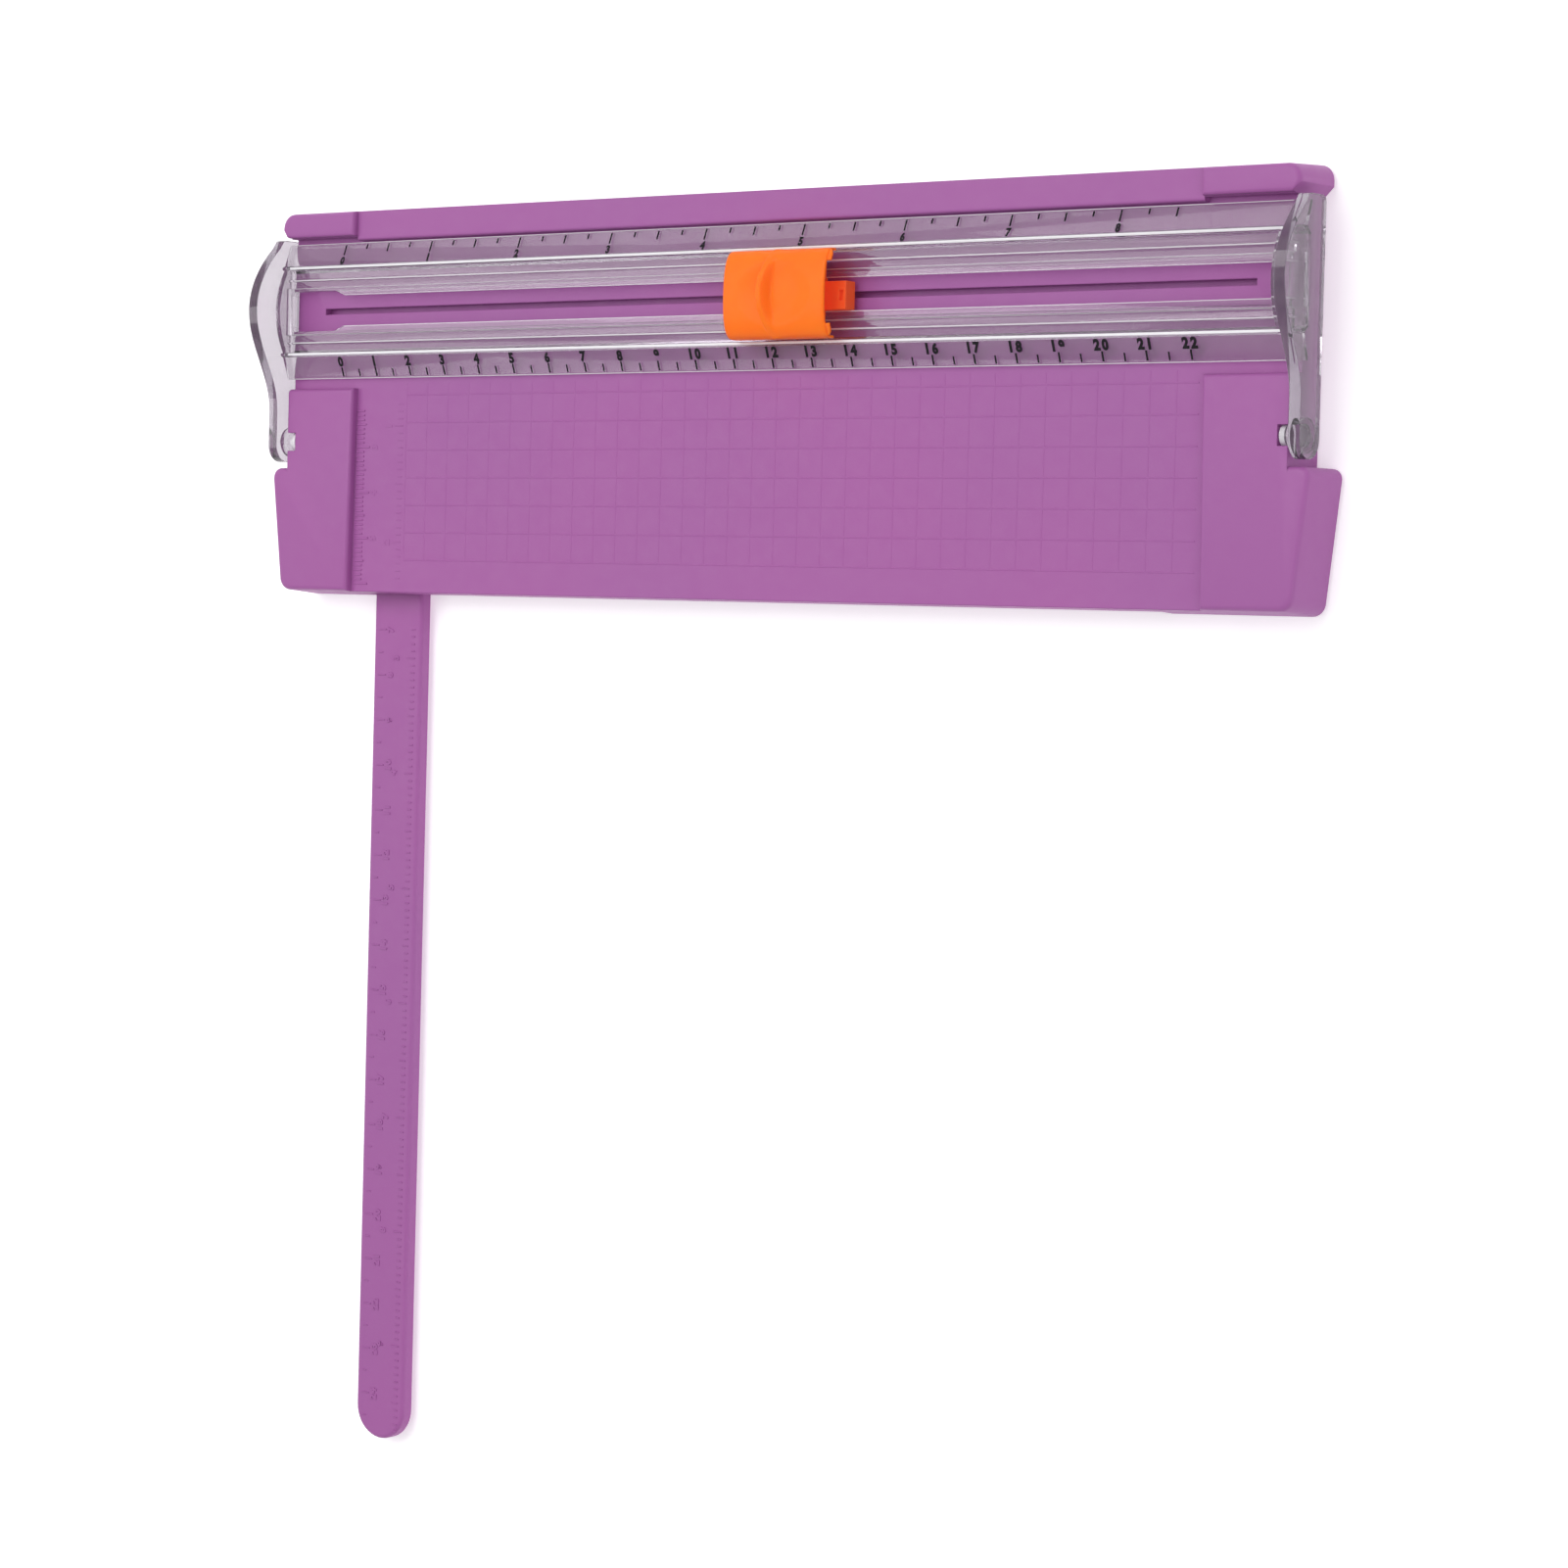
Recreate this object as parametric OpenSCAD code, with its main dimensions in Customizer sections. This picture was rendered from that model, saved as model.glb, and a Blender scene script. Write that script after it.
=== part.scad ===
// Sliding paper trimmer with a swing-out ruler.
// Frame: X runs along the cut, +Y towards the paper fence, +Z up.
// The origin lies on the table, below the middle of the trimmer with its ruler out.
// Lengths along Y are measured from the cut line, which lies cut_y behind the origin.

/* [Base] */
// Height of the paper deck above the table
deck_z = 10; // [9:0.5:12]
// Thickness of the deck
deck_t = 2.4; // [2:0.1:3]
// Thickness of the outer walls
wall_t = 2.2; // [1.8:0.1:2.6]
// Half the length of the base at its widest, at the top
wide_half = 133.5; // [133.3:0.1:134]
// Half the length of the front edge, at the top
front_half = 130.9; // [129:0.1:131.5]
// Half the length of the narrow rear section, between the rail arms
rear_half = 128.9; // [128.4:0.1:129]
// How far the end walls lean out towards the table
draft_x = 0.9; // [0.6:0.1:1.2]
// How far the front and back walls lean out towards the table
draft_y = 0.7; // [0.3:0.1:1]
// Front edge of the base
front_y = -61.7; // [-63:0.1:-61]
// Back of the wide section, where the arms' recess begins
step_y = -34.6; // [-35.5:0.1:-34.2]
// Back edge of the base
back_y = 21.6; // [21.4:0.1:23]
// Height of the two side blocks above the deck
block_h = 2; // [1.5:0.1:2.5]
// Half the width between the side blocks, at the back
block_half = 109.6; // [108:0.1:111]
// Back edge of the side blocks
block_back_y = -17.1; // [-18:0.1:-16.5]
// Height of the fence strip above the deck
fence_h = 1.8; // [1:0.1:2.4]
// Height of the fence's end blocks above the deck
fence_end_h = 3.4; // [2.6:0.1:4]

/* [Cutting groove] */
// Half the length of the groove
groove_half = 120; // [119:0.5:122]
// Width of the groove
groove_w = 1.3; // [1.2:0.1:2]
// Depth of the groove
groove_d = 2; // [1.6:0.1:2.4]

/* [Cutter rail] */
// Height of the rail's underside above the deck, where paper passes
paper_gap = 0.45; // [0.4:0.05:0.6]
// Distance from the cut line to the rail's long edges
rail_half = 14.9; // [14.4:0.1:15]
// Distance from the cut line to the inside of the trough walls
trough_half = 9.1; // [9.05:0.05:9.3]
// Height of the trough walls above the deck
rib_h = 3.5; // [3.2:0.1:3.8]
// Half the width of the slot between the guide lips
slot_half = 3.35; // [3.3:0.05:3.5]
// Half the width of the slot at the loading gap
gap_half = 4.45; // [4.35:0.05:4.6]
// Inner face of the two arms
arm_x = 130.2; // [129.9:0.1:130.3]
// Thickness of the arms
arm_t = 2.5; // [2:0.1:3]
// Height of the arms' domes above the deck
dome_h = 11.3; // [10:0.1:12]
// Height of the arms' straight fronts above the deck
arm_h = 4.2; // [3.5:0.1:5]

/* [Hinge] */
// Distance of the hinge axis in front of the cut line
hinge_y = -28.8; // [-29.5:0.1:-28]
// Height of the hinge axis above the deck
hinge_h = -0.3; // [-0.6:0.1:0]
// Radius of the studs on the arms
stud_r = 2.2; // [1.8:0.1:2.4]

/* [Cartridge] */
// Middle of the cartridge at rest
slider_x = 13.1; // [0:0.1:20]
// Length of the cap
cap_l = 26.8; // [25:0.1:28]
// Half the width of the cap
cap_half = 8.95; // [8.9:0.05:9]
// Height of the cap's crown above the deck
crown_h = 9.5; // [9.3:0.1:10]
// Height of the cap's shoulders above the deck
shoulder_h = 6; // [5.6:0.1:6.5]
// Rise of the thumb fin above the crown
fin_rise = 1.5; // [1:0.1:2.5]
// Radius of the cutter wheel
wheel_r = 3.4; // [3:0.1:3.4]
// Radius of the wheel's axle
axle_r = 0.75; // [0.6:0.05:0.8]

/* [Swing-out ruler] */
// Pivot, left of the middle
pivot_x = -101.3; // [-101.5:0.1:-100]
// Pivot, in front of the cut line
pivot_y = -52.6; // [-52.8:0.1:-52]
// Distance from the pivot to the tip
ruler_l = 197.2; // [150:0.1:197.2]
// Width of the ruler
ruler_w = 14.1; // [12:0.1:14.2]
// Thickness of the ruler
ruler_t = 3; // [2.6:0.1:3]

/* [Hidden] */
$fn = 48;

// Colours
purple = [0.68, 0.40, 0.67];
clear = [0.86, 0.84, 0.90, 0.45];
orange = [1, 0.5, 0.16];
deep_orange = [0.92, 0.36, 0.16];
steel = [0.75, 0.76, 0.78];
nylon = [0.93, 0.92, 0.88];
rubber = [0.16, 0.16, 0.17];

// Cut line, behind the middle between the ruler's tip and the back edge
cut_y = (ruler_l - pivot_y - back_y - draft_y) / 2;

// Heights above the table
skirt_z = 1;
ceiling_z = deck_z - deck_t;
block_z = deck_z + block_h;
rail_z = deck_z + paper_gap;
hinge_z = deck_z + hinge_h;

// Rounding of the base: corners seen from above, and the top edges
corner_r = 2.8;
step_r = 2;
edge_r = 1;
fence_flare = 1.8;
fence_corner_r = 3;
overlap = 0.05;

// Fence: a strip between two higher end blocks that stand a little further back
end_block_y = back_y - 5.5;
strip_y = end_block_y - 0.8;
strip_half = block_half - 0.5;
strip_edge_r = 0.6;

// Cuts through the deck reach this far out and this far up, and widen a little towards the front
reach = 150;
above = 20;
block_taper = 0.8;

// Rubber feet
foot_r = 4.5;
foot_t = 1.6;
foot_x = 119.5;
foot_front_y = -50;
foot_back_y = 12;
post_r = 5.7;

// Ruler: its top passes just under the shortened front skirt
ruler_top_z = deck_z - 5.5;
ruler_z = ruler_top_z - ruler_t;
ruler_clear = 0.5;
shoulder_r = 2.45;
running_gap = 0.05;
ruler_boss_r = 5.2;
recess_r = 4.6;
recess_z = ruler_z + 1.4;
washer_t = 0.4;
washer_z = recess_z - 1;
screw_r = 1.35;
screw_head_r = 3;
screw_head_t = 0.7;

// Rail profile, measured from the deck
lip_top = 2.5;
lip_bottom = 1.65;
floor_top = 1.5;
wing_edge_t = 0.5;
wing_top = 2.75;
wing_t = 0.9;
slot_left = -127.8;
slot_right = 126.2;
gap_end = -112;
end_wall_t = 1.3;
end_wall_rise = 2.7;
boss_r = 3.3;
stud_end = 126.9;
arm_bottom = -3;

// Cartridge, measured from the deck
press_gap = 0.05;
plate_bottom = lip_top + press_gap;
plate_top = 3.6;
plate_half = 8.2;
keel_half = 3.2;
keel_bottom = 0.75;
hook_half = 4.2;
hook_top = 1.5;
hook_l = 6;
cap_bottom = 4.05;
hook_z = 4.5;
lip_z = 4.8;
cap_t = 1.4;
cap_x0 = slider_x - cap_l / 2;
cap_x1 = slider_x + cap_l / 2;
prong_l = 1.1;
overhang = 5.6;
tab_l = 0.6;
axle_h = 4.4;
holder_half_x = 4.4;
holder_half_y = 1.95;
holder_bottom = 3.3;
cap_pad = crown_h - cap_t - 0.2;
spring_x = 6.2;
spring_r = 1.2;
spring_wire_r = 0.18;
spring_top = 6.9;
spring_turns = 4;

// Points along an arc from angle a0 to a1
function arc(x, y, r, a0, a1, n = 6) =
    [for (i = [0:n]) let (a = a0 + (a1 - a0) * i / n) [x + r * cos(a), y + r * sin(a)]];

// The same points on the other side of the Y axis, in reverse order
function mirrored(pts) = [for (i = [len(pts) - 1:-1:0]) [-pts[i][0], pts[i][1]]];

// Wide front section seen from above
function front_outline(grow_x, grow_y) =
    let (right = concat(
        arc(front_half + grow_x - corner_r, front_y - grow_y + corner_r, corner_r, -90, 0),
        arc(wide_half + grow_x - step_r, step_y + min(grow_y, 0) - step_r, step_r, 0, 90)
    ))
    concat(right, mirrored(right));

// Rear end with the fence, seen from above: it flares out behind the arms
function fence_outline(grow_x, grow_y) =
    let (half = rear_half + fence_flare + grow_x, right = concat(
        [[rear_half, end_block_y + 0.2], [half, end_block_y + 2]],
        arc(half - fence_corner_r, back_y + grow_y - fence_corner_r, fence_corner_r, 0, 90)
    ))
    concat(right, mirrored(right));

// A thin slice of a solid, as an ingredient of a hull
module slice(z, pts) {
    translate([0, 0, z]) linear_extrude(overlap) polygon(pts);
}

// A box from its two corners
module span(a, b) {
    translate(a) cube(b - a);
}

module mirror_copy() {
    children();
    mirror([1, 0, 0]) children();
}

// Moves a finished node from the cut line's frame to the trimmer's
module place() {
    translate([0, cut_y, 0]) children();
}

// Extrudes a Y-Z outline along X
module along_x(x0, x1) {
    translate([x0, 0, 0]) rotate([90, 0, 90]) linear_extrude(x1 - x0) children();
}

// Extrudes an X-Z outline along Y, to both sides
module along_y(half) {
    translate([0, half, 0]) rotate([90, 0, 0]) linear_extrude(half * 2) children();
}

module foot_places() {
    for (x = [-foot_x, foot_x], y = [foot_front_y, foot_back_y]) {
        translate([x, y, 0]) children();
    }
}

// Closed outer form of the base, before it is hollowed
module base_form() {
    hull() {
        slice(skirt_z, front_outline(draft_x, draft_y));
        for (a = [0:30:90]) {
            inset = edge_r * (1 - cos(a));
            slice(block_z - overlap - edge_r * (1 - sin(a)), front_outline(-inset, -inset));
        }
    }
    hull() {
        slice(skirt_z, fence_outline(0, draft_y));
        for (a = [0:30:90]) {
            inset = edge_r * (1 - cos(a));
            slice(deck_z + fence_end_h - overlap - edge_r * (1 - sin(a)), fence_outline(-inset, -inset));
        }
    }
    span([-rear_half, step_y - 4, skirt_z], [rear_half, end_block_y + 1, block_z]);
}

// One side of a cut: a wall up from (0, 0) whose top edge, at height h, is rounded off
function rounded_side(h, r) = concat([[0, 0]], arc(r, h - r, r, 180, 90), [[r, above]]);

function reversed(pts) = [for (i = [len(pts) - 1:-1:0]) pts[i]];

// Points moved to start at x, and facing the other way when side is -1
function placed(pts, x, side) = [for (p = pts) [x + side * p[0], p[1]]];

// Deck between the side blocks: each side of the cut turns a little to follow its block
module deck_cut() {
    turn = atan(block_taper / (block_back_y - front_y));
    behind = 6;
    mirror_copy() translate([block_half, block_back_y, deck_z]) rotate([0, 0, turn]) {
        translate([0, -32, 0]) along_y(32 + behind) polygon(concat(
            [[-block_half - 30, above], [-block_half - 30, 0]], rounded_side(block_h, edge_r)
        ));
    }
}

// Low strip under the rail, between the blocks and the fence
module rail_bed_cut() {
    blocks = placed(rounded_side(block_h, edge_r), block_back_y, -1);
    end_block = placed(rounded_side(fence_end_h, edge_r), end_block_y, 1);
    translate([0, 0, deck_z]) {
        along_x(-reach, reach) polygon(concat(reversed(blocks), [[strip_y, 0], [strip_y, above]]));
        mirror_copy() along_x(strip_half, reach) polygon(concat([[strip_y - 1, above], [strip_y - 1, 0]], end_block));
    }
}

// Top of the fence strip, between the fence's end blocks, and its rounded front edge
module strip_cut() {
    end_block = rounded_side(fence_end_h - fence_h, edge_r);
    front = placed(rounded_side(fence_h, strip_edge_r), strip_y, 1);
    translate([0, back_y, deck_z + fence_h]) along_y(10) polygon(concat(
        reversed(placed(end_block, -strip_half, -1)), placed(end_block, strip_half, 1)
    ));
    translate([0, 0, deck_z]) along_x(-strip_half, strip_half) polygon(concat(
        [[strip_y - 1, above], [strip_y - 1, 0]], front
    ));
}

// Hollow underside
module base_cavity() {
    translate([0, 0, -1]) linear_extrude(ceiling_z + 1) polygon(front_outline(-wall_t, -wall_t));
    inner = rear_half - wall_t - 0.2;
    span([-inner, step_y - 6, -1], [inner, back_y - wall_t, ceiling_z]);
    // The front skirt is short where the ruler swings out
    span([pivot_x - 8.2, front_y - 5, -1], [pivot_x + ruler_l + 2, front_y + 5, ruler_top_z + ruler_clear]);
}

module base_ribs() {
    rib_t = 1.4;
    rib_z = 3;
    rib_front = pivot_y + ruler_w / 2 + 2;
    rib_back = back_y - wall_t + 0.5;
    for (x = [-108:36:108]) {
        span([x - rib_t / 2, rib_front, rib_z], [x + rib_t / 2, rib_back, ceiling_z + overlap]);
    }
    inner = rear_half - wall_t;
    span([-inner, rib_front, rib_z], [inner, rib_front + rib_t, ceiling_z + overlap]);
    // Backing under the groove
    span([-inner, -3, ceiling_z - 2], [inner, 3, ceiling_z + overlap]);
    foot_places() translate([0, 0, skirt_z]) cylinder(h = ceiling_z - skirt_z + overlap, r = post_r);
}

// Boss that the ruler turns on: a broad stop above it and a shoulder through it
module ruler_boss() {
    translate([pivot_x, pivot_y, ruler_top_z + 0.1]) cylinder(h = ceiling_z - ruler_top_z, r = ruler_boss_r);
    translate([pivot_x, pivot_y, washer_z + washer_t]) cylinder(h = ceiling_z - washer_z, r = shoulder_r);
}

// Round seat for an arm's stud, open at the top so that the stud snaps in
module stud_seat() {
    slit = stud_r * 1.8;
    translate([stud_end - 0.3, hinge_y, hinge_z]) rotate([0, 90, 0]) cylinder(h = 10, r = stud_r + running_gap);
    span([stud_end - 0.3, hinge_y - slit / 2, hinge_z], [rear_half + 5, hinge_y + slit / 2, block_z + 5]);
}

module base_shell() {
    color(purple) difference() {
        union() {
            difference() {
                base_form();
                deck_cut();
                rail_bed_cut();
                strip_cut();
                base_cavity();
            }
            base_ribs();
            ruler_boss();
        }
        span([-groove_half, -groove_w / 2, deck_z - groove_d], [groove_half, groove_w / 2, deck_z + 1]);
        mirror_copy() stud_seat();
        foot_places() translate([0, 0, -1]) cylinder(h = foot_t + 1, r = foot_r + running_gap);
        translate([pivot_x, pivot_y, 0]) cylinder(h = deck_z - 1.4, r = screw_r - 0.1);
    }
}

module rubber_feet() {
    color(rubber) foot_places() cylinder(h = foot_t, r = foot_r);
}

// One side of the rail's section: sloped wing, trough wall, floor and guide lip
module rail_section() {
    translate([0, deck_z]) polygon([
        [rail_half, paper_gap],
        [rail_half, paper_gap + wing_edge_t],
        [trough_half + 0.95, wing_top],
        [trough_half + 0.85, rib_h - 0.45],
        [trough_half + 0.7, rib_h - 0.1],
        [trough_half + 0.45, rib_h],
        [trough_half + 0.15, rib_h - 0.1],
        [trough_half, rib_h - 0.4],
        [trough_half, floor_top],
        [7.15, floor_top],
        [7.05, floor_top + 0.5],
        [6.75, floor_top + 0.5],
        [6.65, floor_top],
        [gap_half + 0.75, floor_top],
        [gap_half + 0.65, lip_top],
        [slot_half, lip_top],
        [slot_half, lip_bottom],
        [gap_half, lip_bottom],
        [gap_half, paper_gap],
        [trough_half - 0.6, paper_gap],
        [trough_half + 0.8, wing_top - wing_t],
        [rail_half - 0.8, paper_gap]
    ]);
}

// Wall across the end of the trough, with an arched top
module end_wall_section() {
    half = trough_half + 0.4;
    n = 16;
    translate([0, deck_z]) polygon(concat(
        [[half, paper_gap]],
        [for (i = [0:n]) let (y = half * (1 - 2 * i / n)) [y, rib_h - 0.3 + end_wall_rise * (1 - pow(y / half, 2))]],
        [[-half, paper_gap]]
    ));
}

// Arm outline in Y-Z: flat front with the hinge, and a dome over the rail
module arm_section() {
    dome_front = 22;
    back = rail_half + 1;
    tip = (arm_h - arm_bottom) / 2;
    dome_fall = 0.036;
    translate([0, deck_z]) polygon(concat(
        [for (y = [-dome_front:2:-2]) [y, arm_h + (dome_h - arm_h) * (1 + cos(180 * y / dome_front)) / 2]],
        [for (y = [0:1.4:back - 1.4]) [y, dome_h - dome_fall * y * y]],
        arc(back - 1.2, dome_h - dome_fall * pow(back - 1.4, 2) - 1.4, 1.2, 50, 0, 4),
        arc(back - 1.2, arm_bottom + 1.2, 1.2, 0, -90, 4),
        arc(hinge_y - 0.9, arm_bottom + tip, tip, -90, -270, 12)
    ));
}

module rail_arm() {
    along_x(arm_x, arm_x + arm_t) arm_section();
    translate([rear_half + 0.2, hinge_y, hinge_z]) rotate([0, 90, 0]) cylinder(h = arm_x - rear_half, r = boss_r);
    translate([stud_end, hinge_y, hinge_z]) rotate([0, 90, 0]) cylinder(h = arm_x - stud_end + 1, r = stud_r);
}

// Bridge that closes the slot between the two halves of the rail
module slot_bridge(x0, x1) {
    span([x0, -gap_half - 0.3, rail_z], [x1, gap_half + 0.3, deck_z + lip_top]);
}

module cutter_rail() {
    taper = 3;
    color(clear) difference() {
        union() {
            along_x(-arm_x - overlap, arm_x + overlap) rail_section();
            along_x(-arm_x - overlap, arm_x + overlap) mirror([1, 0]) rail_section();
            slot_bridge(-arm_x - overlap, slot_left);
            slot_bridge(slot_right, arm_x + overlap);
            along_x(slot_right + 0.3, slot_right + 0.3 + end_wall_t) end_wall_section();
            along_x(slot_left - 0.6 - end_wall_t, slot_left - 0.6) end_wall_section();
            mirror_copy() rail_arm();
        }
        // Loading gap, where the guide lips stop short
        translate([0, 0, rail_z - 1]) linear_extrude(10) polygon([
            [slot_left, -gap_half + 1], [slot_left + 1, -gap_half], [gap_end - taper, -gap_half],
            [gap_end, -slot_half], [gap_end, slot_half],
            [gap_end - taper, gap_half], [slot_left + 1, gap_half], [slot_left, gap_half - 1]
        ]);
    }
}

// Runs in the rail: a plate on the guide lips, a keel through the slot and hooks under the lips.
// It is shorter than the cap, which overhangs its right end
module slider_carriage() {
    x0 = cap_x0 + 1.2;
    x1 = cap_x1 - overhang;
    color(deep_orange) translate([0, 0, deck_z]) difference() {
        union() {
            span([x0, -plate_half, plate_bottom], [x1, plate_half, plate_top]);
            span([x0 + 1, -keel_half, keel_bottom], [x1 - 1, keel_half, plate_top]);
            for (x = [x0 + 1, x1 - 1 - hook_l]) {
                span([x, -hook_half, keel_bottom], [x + hook_l, hook_half, hook_top]);
            }
            // Side walls whose outward lips hold the cap
            for (side = [-1, 1]) {
                span([x0 + 1, side * (plate_half - 0.5) - 0.5, plate_bottom],
                     [x1 - 1, side * (plate_half - 0.5) + 0.5, lip_z]);
                span([slider_x - 6, side * 8.05 - 0.4, hook_z + press_gap],
                     [slider_x + 6, side * 8.05 + 0.4, lip_z]);
            }
            // Tab beyond the cap
            span([x1 - 0.2, -3.2, keel_bottom + 0.4], [cap_x1 + tab_l, 2.5, 4.3]);
        }
        span([slider_x - holder_half_x - 0.2, -holder_half_y - 0.15, -5],
             [slider_x + holder_half_x + 0.2, holder_half_y + 0.15, 10]);
        // Relief in the tab's middle
        span([cap_x1 + tab_l - 1.7, -1.4, 3.4], [cap_x1 + tab_l - 0.7, 0.7, 5]);
    }
}

// Arched outline of the cap in Y-Z
function arch(half, low, high, n = 20) =
    [for (i = [0:n]) let (y = half * cos(180 * i / n), t = pow(abs(y) / half, 2.6))
        [y, low + (high - low) * pow(max(0, 1 - t), 1 / 2.6)]];

// Pressed with the thumb: arched shell with a fin, hooks inside and seats for the springs
module slider_cap() {
    dish_r = 27;
    dish_d = 0.9;
    dish_x = (cap_x0 + cap_x1 - prong_l) / 2;
    fin_x = slider_x - 2.4;
    fin_r = 12.5;
    fin_bow_r = 21;
    fin_half = 0.6;
    end_t = 0.9;
    prong_z = 6;
    color(orange) translate([0, 0, deck_z]) union() {
        difference() {
            union() {
                difference() {
                    along_x(cap_x0, cap_x1) polygon(concat(
                        arch(cap_half, shoulder_h, crown_h), [[-cap_half, cap_bottom], [cap_half, cap_bottom]]
                    ));
                    // Shallow thumb dish, longer than it is wide
                    for (x = [dish_x - 3.2, dish_x + 3.2]) {
                        translate([x, 0, crown_h + dish_r - dish_d]) sphere(r = dish_r);
                    }
                }
                // Fin: an arc seen from above, and an arc seen from the end
                intersection() {
                    translate([fin_x + fin_bow_r, 0, 0]) difference() {
                        cylinder(h = 20, r = fin_bow_r + fin_half, $fn = 96);
                        translate([0, 0, -1]) cylinder(h = 22, r = fin_bow_r - fin_half, $fn = 96);
                    }
                    along_x(fin_x - 2, fin_x + 4) intersection() {
                        translate([0, crown_h + fin_rise - fin_r]) circle(r = fin_r);
                        polygon(arch(cap_half, shoulder_h, crown_h + 10));
                    }
                }
            }
            // Hollow inside, open below
            along_x(cap_x0 + end_t, cap_x1 - prong_l) polygon(concat(
                arch(cap_half - 0.4, shoulder_h - 0.1, crown_h - cap_t),
                [[-cap_half + 0.4, 0], [cap_half - 0.4, 0]]
            ));
            // The left end stops above the guide lips when the cap is down
            span([cap_x0 - 1, -plate_half + 1, 0], [cap_x0 + end_t + 1, plate_half - 1, cap_bottom + 0.5]);
            // Right end: notched between its two prongs, with its side walls cut back below them
            span([cap_x1 - prong_l, -6.4, 0], [cap_x1 + 1, 6.4, 20]);
            along_y(cap_half + 1) polygon([
                [cap_x1 + 1, prong_z], [cap_x1 - 0.4, prong_z], [cap_x1 - 4.5, 0], [cap_x1 + 1, 0]
            ]);
        }
        // Inward hooks that catch under the carriage's lips
        for (side = [-1, 1]) {
            span([slider_x - 5, side * 8.6 - 0.35, cap_bottom], [slider_x + 5, side * 8.6 + 0.35, hook_z]);
        }
        // Pad for the blade holder and bosses for the springs
        span([slider_x - holder_half_x, -2.6, cap_pad], [slider_x + holder_half_x, 2.6, crown_h - cap_t + 0.1]);
        for (side = [-1, 1]) {
            translate([slider_x + side * spring_x, 0, spring_top]) cylinder(h = crown_h - cap_t - spring_top + 0.1, r = 1.7);
            translate([slider_x + side * spring_x, 0, spring_top - 0.6]) cylinder(h = 1, r = 0.9);
        }
    }
}

// Points round a circle of radius r, at one place along the spring's coil
function coil_ring(turn, height, r, wire, m) =
    [for (j = [0:m - 1]) let (a = 360 * turn, b = 360 * j / m)
        [(r + wire * cos(b)) * cos(a), (r + wire * cos(b)) * sin(a), height * turn / spring_turns + wire * sin(b)]];

module coil(height) {
    steps = 16;
    m = 8;
    count = spring_turns * steps;
    rings = [for (i = [0:count]) each coil_ring(i / steps, height, spring_r, spring_wire_r, m)];
    sides = [for (i = [0:count - 1], j = [0:m - 1])
        [i * m + j, i * m + (j + 1) % m, (i + 1) * m + (j + 1) % m, (i + 1) * m + j]];
    polyhedron(rings, concat([[for (j = [m - 1:-1:0]) j]], sides, [[for (j = [0:m - 1]) count * m + j]]));
}

module press_springs() {
    low = plate_top + spring_wire_r + 0.02;
    high = spring_top - spring_wire_r - 0.02;
    color(steel) for (side = [-1, 1]) {
        translate([slider_x + side * spring_x, 0, deck_z + low]) coil(high - low);
    }
}

// Two cheeks under the cap that carry the wheel's axle
module blade_holder() {
    color(nylon) translate([slider_x, 0, deck_z]) difference() {
        union() {
            span([-holder_half_x, -holder_half_y, axle_h], [holder_half_x, holder_half_y, cap_pad]);
            span([-2, -holder_half_y, holder_bottom], [2, holder_half_y, axle_h + 1]);
            translate([0, holder_half_y, axle_h]) rotate([90, 0, 0]) cylinder(h = holder_half_y * 2, r = 2);
        }
        // Slot for the wheel, closed at both ends
        span([-wheel_r - 0.2, -0.5, 0], [wheel_r + 0.2, 0.5, 20]);
        translate([0, 5, axle_h]) rotate([90, 0, 0]) cylinder(h = 10, r = axle_r - 0.02);
    }
}

module wheel_axle() {
    half = holder_half_y - 0.05;
    color(steel) translate([slider_x, half, deck_z + axle_h]) rotate([90, 0, 0]) cylinder(h = half * 2, r = axle_r);
}

// Flanged bush that joins the wheel to its axle
module wheel_hub() {
    color(nylon) translate([slider_x, 0, deck_z + axle_h]) rotate([90, 0, 0]) difference() {
        union() {
            translate([0, 0, -0.42]) cylinder(h = 0.84, r = 1.22);
            translate([0, 0, -0.42]) cylinder(h = 0.27, r = 1.7);
        }
        translate([0, 0, -1]) cylinder(h = 2, r = axle_r + running_gap);
    }
}

// Steel disc with an edge ground from both sides
module cutter_wheel() {
    half = 0.15;
    color(steel) translate([slider_x, 0, deck_z + axle_h]) rotate([90, 0, 0]) rotate_extrude($fn = 96) polygon([
        [1.2, -half], [wheel_r - 0.6, -half], [wheel_r, -0.02], [wheel_r, 0.02], [wheel_r - 0.6, half], [1.2, half]
    ]);
}

module ruler_arm() {
    half = ruler_w / 2;
    color(purple) translate([pivot_x, pivot_y, ruler_z]) difference() {
        linear_extrude(ruler_t) union() {
            circle(r = half, $fn = 96);
            translate([-half, half - ruler_l]) square([ruler_w, ruler_l - half]);
            translate([0, half - ruler_l]) circle(r = half, $fn = 96);
        }
        translate([0, 0, -1]) cylinder(h = ruler_t + 2, r = shoulder_r + running_gap);
        translate([0, 0, -1]) cylinder(h = recess_z - ruler_z + 1, r = recess_r);
    }
}

module ring(z, t, inner, outer) {
    translate([pivot_x, pivot_y, z]) difference() {
        cylinder(h = t, r = outer);
        translate([0, 0, -1]) cylinder(h = t + 2, r = inner);
    }
}

// Nylon ring that gives the ruler's swing its drag
module friction_washer() {
    low = washer_z + washer_t + 0.03;
    color(nylon) ring(low, recess_z - low - 0.03, shoulder_r + 0.1, recess_r - 0.4);
}

module pivot_washer() {
    color(steel) ring(washer_z, washer_t, screw_r + 0.15, recess_r - 0.4);
}

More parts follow.
